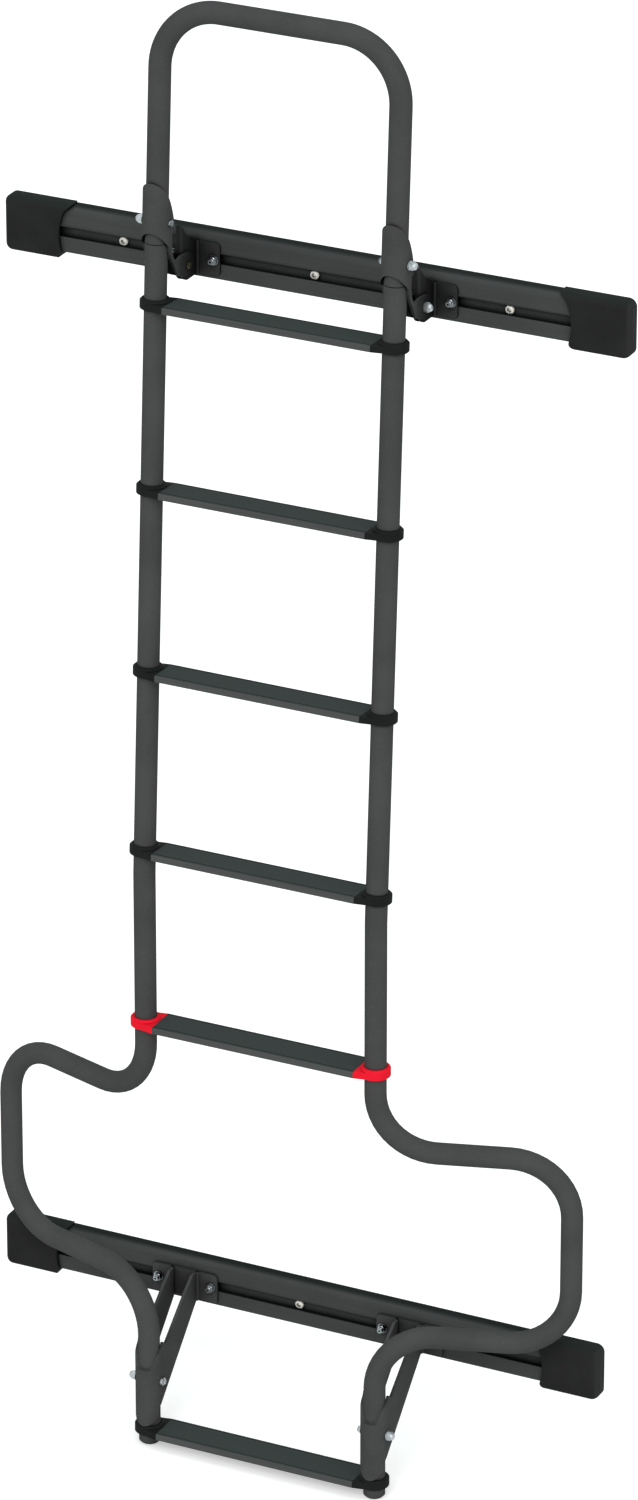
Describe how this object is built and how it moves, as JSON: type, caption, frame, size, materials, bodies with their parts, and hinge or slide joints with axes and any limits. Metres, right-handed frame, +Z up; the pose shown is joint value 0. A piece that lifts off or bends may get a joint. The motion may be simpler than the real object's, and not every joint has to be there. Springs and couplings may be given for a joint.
{
  "type": "van rear door ladder",
  "caption": "Rear door ladder for a van: bent tube rails with a grab hoop, flat steps in moulded collars, and two slotted bars that fix to the door.",
  "frame": {"origin": "middle of the flat back of the upper bar, where it lies on the door", "axes": "+Z up, +Y from the ladder to the door, +X to the right seen from behind the van"},
  "size_m": [0.899, 0.2029, 2.0746],
  "materials": {
    "tube_coating": "fine satin powder coat, dark grey",
    "bracket_coating": "fine satin powder coat, dark grey",
    "step_extrusion": "dark anodised extrusion",
    "bar_extrusion": "dark anodised extrusion",
    "end_cap_plastic": "fine moulded grain, black",
    "collar_plastic": "moulded, black",
    "marked_collar_plastic": "moulded, bright red",
    "plug_plastic": "moulded, grey"
  },
  "bodies": {
    "root": {"foot_plugs": "plug_plastic", "grab_hoop": "tube_coating", "left_lower_bracket": "bracket_coating", "left_lower_end_cap": "end_cap_plastic", "left_rail": "tube_coating", "left_upper_bracket": "bracket_coating", "left_upper_clamp": "bracket_coating", "left_upper_end_cap": "end_cap_plastic", "lower_bar": "bar_extrusion", "right_lower_bracket": "bracket_coating", "right_lower_end_cap": "end_cap_plastic", "right_rail": "tube_coating", "right_upper_bracket": "bracket_coating", "right_upper_clamp": "bracket_coating", "right_upper_end_cap": "end_cap_plastic", "step_1": "step_extrusion", "step_1_collars": "collar_plastic", "step_2": "step_extrusion", "step_2_collars": "collar_plastic", "step_3": "step_extrusion", "step_3_collars": "collar_plastic", "step_4": "step_extrusion", "step_4_collars": "collar_plastic", "step_5": "step_extrusion", "step_5_collars": "marked_collar_plastic", "step_6": "step_extrusion", "step_6_collars": "collar_plastic", "upper_bar": "bar_extrusion"}
  },
  "joints": []
}
